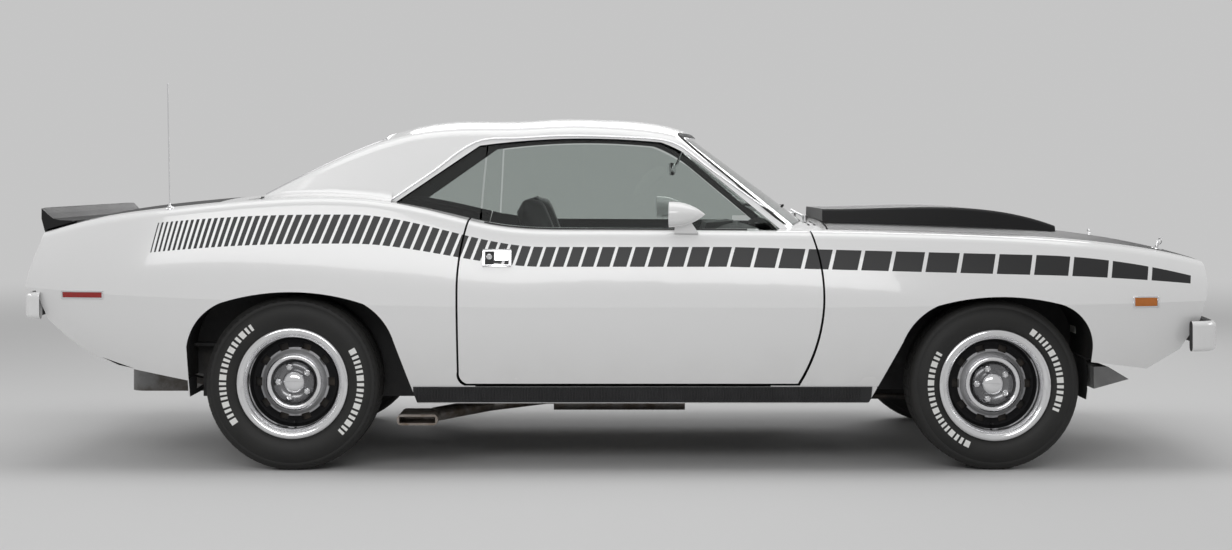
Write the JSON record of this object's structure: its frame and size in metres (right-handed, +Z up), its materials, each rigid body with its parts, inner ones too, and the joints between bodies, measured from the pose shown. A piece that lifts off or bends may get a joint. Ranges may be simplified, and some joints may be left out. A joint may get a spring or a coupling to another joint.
{
  "type": "two-door hardtop muscle car",
  "caption": "Two-door hardtop muscle car with opening doors, hood and deck lid, steered front wheels and four turning wheels.",
  "frame": {"origin": "on the ground below the centre of the overall length, on the centre plane", "axes": "+X forward, +Y the car's left, +Z up"},
  "size_m": [4.742, 1.9166, 1.5118],
  "materials": {
    "body_white": "gloss",
    "satin_black": "satin",
    "black_moulding": "ribbed satin",
    "grey_plastic": "matt",
    "glass": "clear, lightly tinted",
    "lamp_glass": "clear",
    "red_lens": "gloss",
    "chassis_black": "satin",
    "engine_paint": "satin",
    "exhaust_steel": "dull",
    "black_trim": "grained",
    "wheel_rim_black": "satin",
    "seat_vinyl": "grained",
    "bright_steel": "polished",
    "wheel_silver": "silver with bright rings",
    "tyre": "matt"
  },
  "bodies": {
    "root": {"antenna": "bright_steel", "boot_floor": "chassis_black", "chin_spoiler": "grey_plastic", "cowl": "body_white", "dashboard": "black_trim", "engine": "engine_paint", "exhaust": "exhaust_steel", "fender_left": "body_white", "fender_right": "body_white", "filler_panel": "body_white", "floor_pan": "chassis_black", "front_bumper": "body_white", "front_seats": "seat_vinyl", "front_structure": "chassis_black", "front_suspension": "chassis_black", "front_valance": "body_white", "fuel_tank": "chassis_black", "grille": "satin_black", "headlamps": "lamp_glass", "parcel_shelf": "black_trim", "quarter_glass": "glass", "quarter_left": "body_white", "quarter_right": "body_white", "radiator": "chassis_black", "rear_axle": "chassis_black", "rear_bumper": "body_white", "rear_seat": "seat_vinyl", "rear_valance": "body_white", "rear_window": "glass", "roof": "body_white", "sill_left": "body_white", "sill_mouldings": "black_moulding", "sill_right": "body_white", "tail_lamps": "red_lens", "tail_panel": "satin_black", "windscreen": "glass", "wipers": "bright_steel"},
    "door_left": {"door_left": "body_white", "door_glass_left": "glass", "mirror_left": "body_white"},
    "knuckle_left": {"knuckle_left": "chassis_black"},
    "wheel_front_left": {"rim_front_left": "wheel_silver", "tyre_front_left": "tyre"},
    "wheel_rear_left": {"rim_rear_left": "wheel_silver", "tyre_rear_left": "tyre"},
    "door_right": {"door_right": "body_white", "door_glass_right": "glass", "mirror_right": "body_white"},
    "knuckle_right": {"knuckle_right": "chassis_black"},
    "wheel_front_right": {"rim_front_right": "wheel_silver", "tyre_front_right": "tyre"},
    "wheel_rear_right": {"rim_rear_right": "wheel_silver", "tyre_rear_right": "tyre"},
    "hood": {"hood": "satin_black"},
    "deck_lid": {"deck_lid": "satin_black", "rear_spoiler": "satin_black"},
    "steering_wheel": {"steering_wheel": "wheel_rim_black"}
  },
  "joints": [
    {"name": "door_left_hinge", "type": "hinge", "parent": "root", "child": "door_left", "pos_m": [0.7, 0.922, 0.6], "axis": [0, 0, -1], "range_deg": [0, 68]},
    {"name": "door_right_hinge", "type": "hinge", "parent": "root", "child": "door_right", "pos_m": [0.7, -0.922, 0.6], "axis": [0, 0, 1], "range_deg": [0, 68]},
    {"name": "hood_hinge", "type": "hinge", "parent": "root", "child": "hood", "pos_m": [0.8, 0, 0.99], "axis": [0, -1, 0], "range_deg": [0, 50]},
    {"name": "deck_lid_hinge", "type": "hinge", "parent": "root", "child": "deck_lid", "pos_m": [-1.625, 0, 1.066], "axis": [0, 1, 0], "range_deg": [0, 65]},
    {"name": "steer_left", "type": "hinge", "parent": "root", "child": "knuckle_left", "pos_m": [1.438, 0.698, 0.332], "axis": [0, -0.1045, 0.9945], "range_deg": [-33, 33]},
    {"name": "steer_right", "type": "hinge", "parent": "root", "child": "knuckle_right", "pos_m": [1.438, -0.698, 0.332], "axis": [0, 0.1045, 0.9945], "range_deg": [-33, 33]},
    {"name": "steering_wheel_turn", "type": "hinge", "parent": "root", "child": "steering_wheel", "pos_m": [0.262, 0.37, 0.818], "axis": [-0.95, 0, 0.3124], "range_deg": [-530, 530]},
    {"name": "wheel_front_left_spin", "type": "hinge", "parent": "knuckle_left", "child": "wheel_front_left", "pos_m": [1.438, 0.758, 0.332], "axis": [0, 1, 0], "continuous": true},
    {"name": "wheel_rear_left_spin", "type": "hinge", "parent": "root", "child": "wheel_rear_left", "pos_m": [-1.305, 0.765, 0.34], "axis": [0, 1, 0], "continuous": true},
    {"name": "wheel_front_right_spin", "type": "hinge", "parent": "knuckle_right", "child": "wheel_front_right", "pos_m": [1.438, -0.758, 0.332], "axis": [0, 1, 0], "continuous": true},
    {"name": "wheel_rear_right_spin", "type": "hinge", "parent": "root", "child": "wheel_rear_right", "pos_m": [-1.305, -0.765, 0.34], "axis": [0, 1, 0], "continuous": true}
  ],
  "couplings": [
    {"joint": "steer_right", "follows": "steer_left", "ratio": 1},
    {"joint": "steering_wheel_turn", "follows": "steer_left", "ratio": 16}
  ]
}
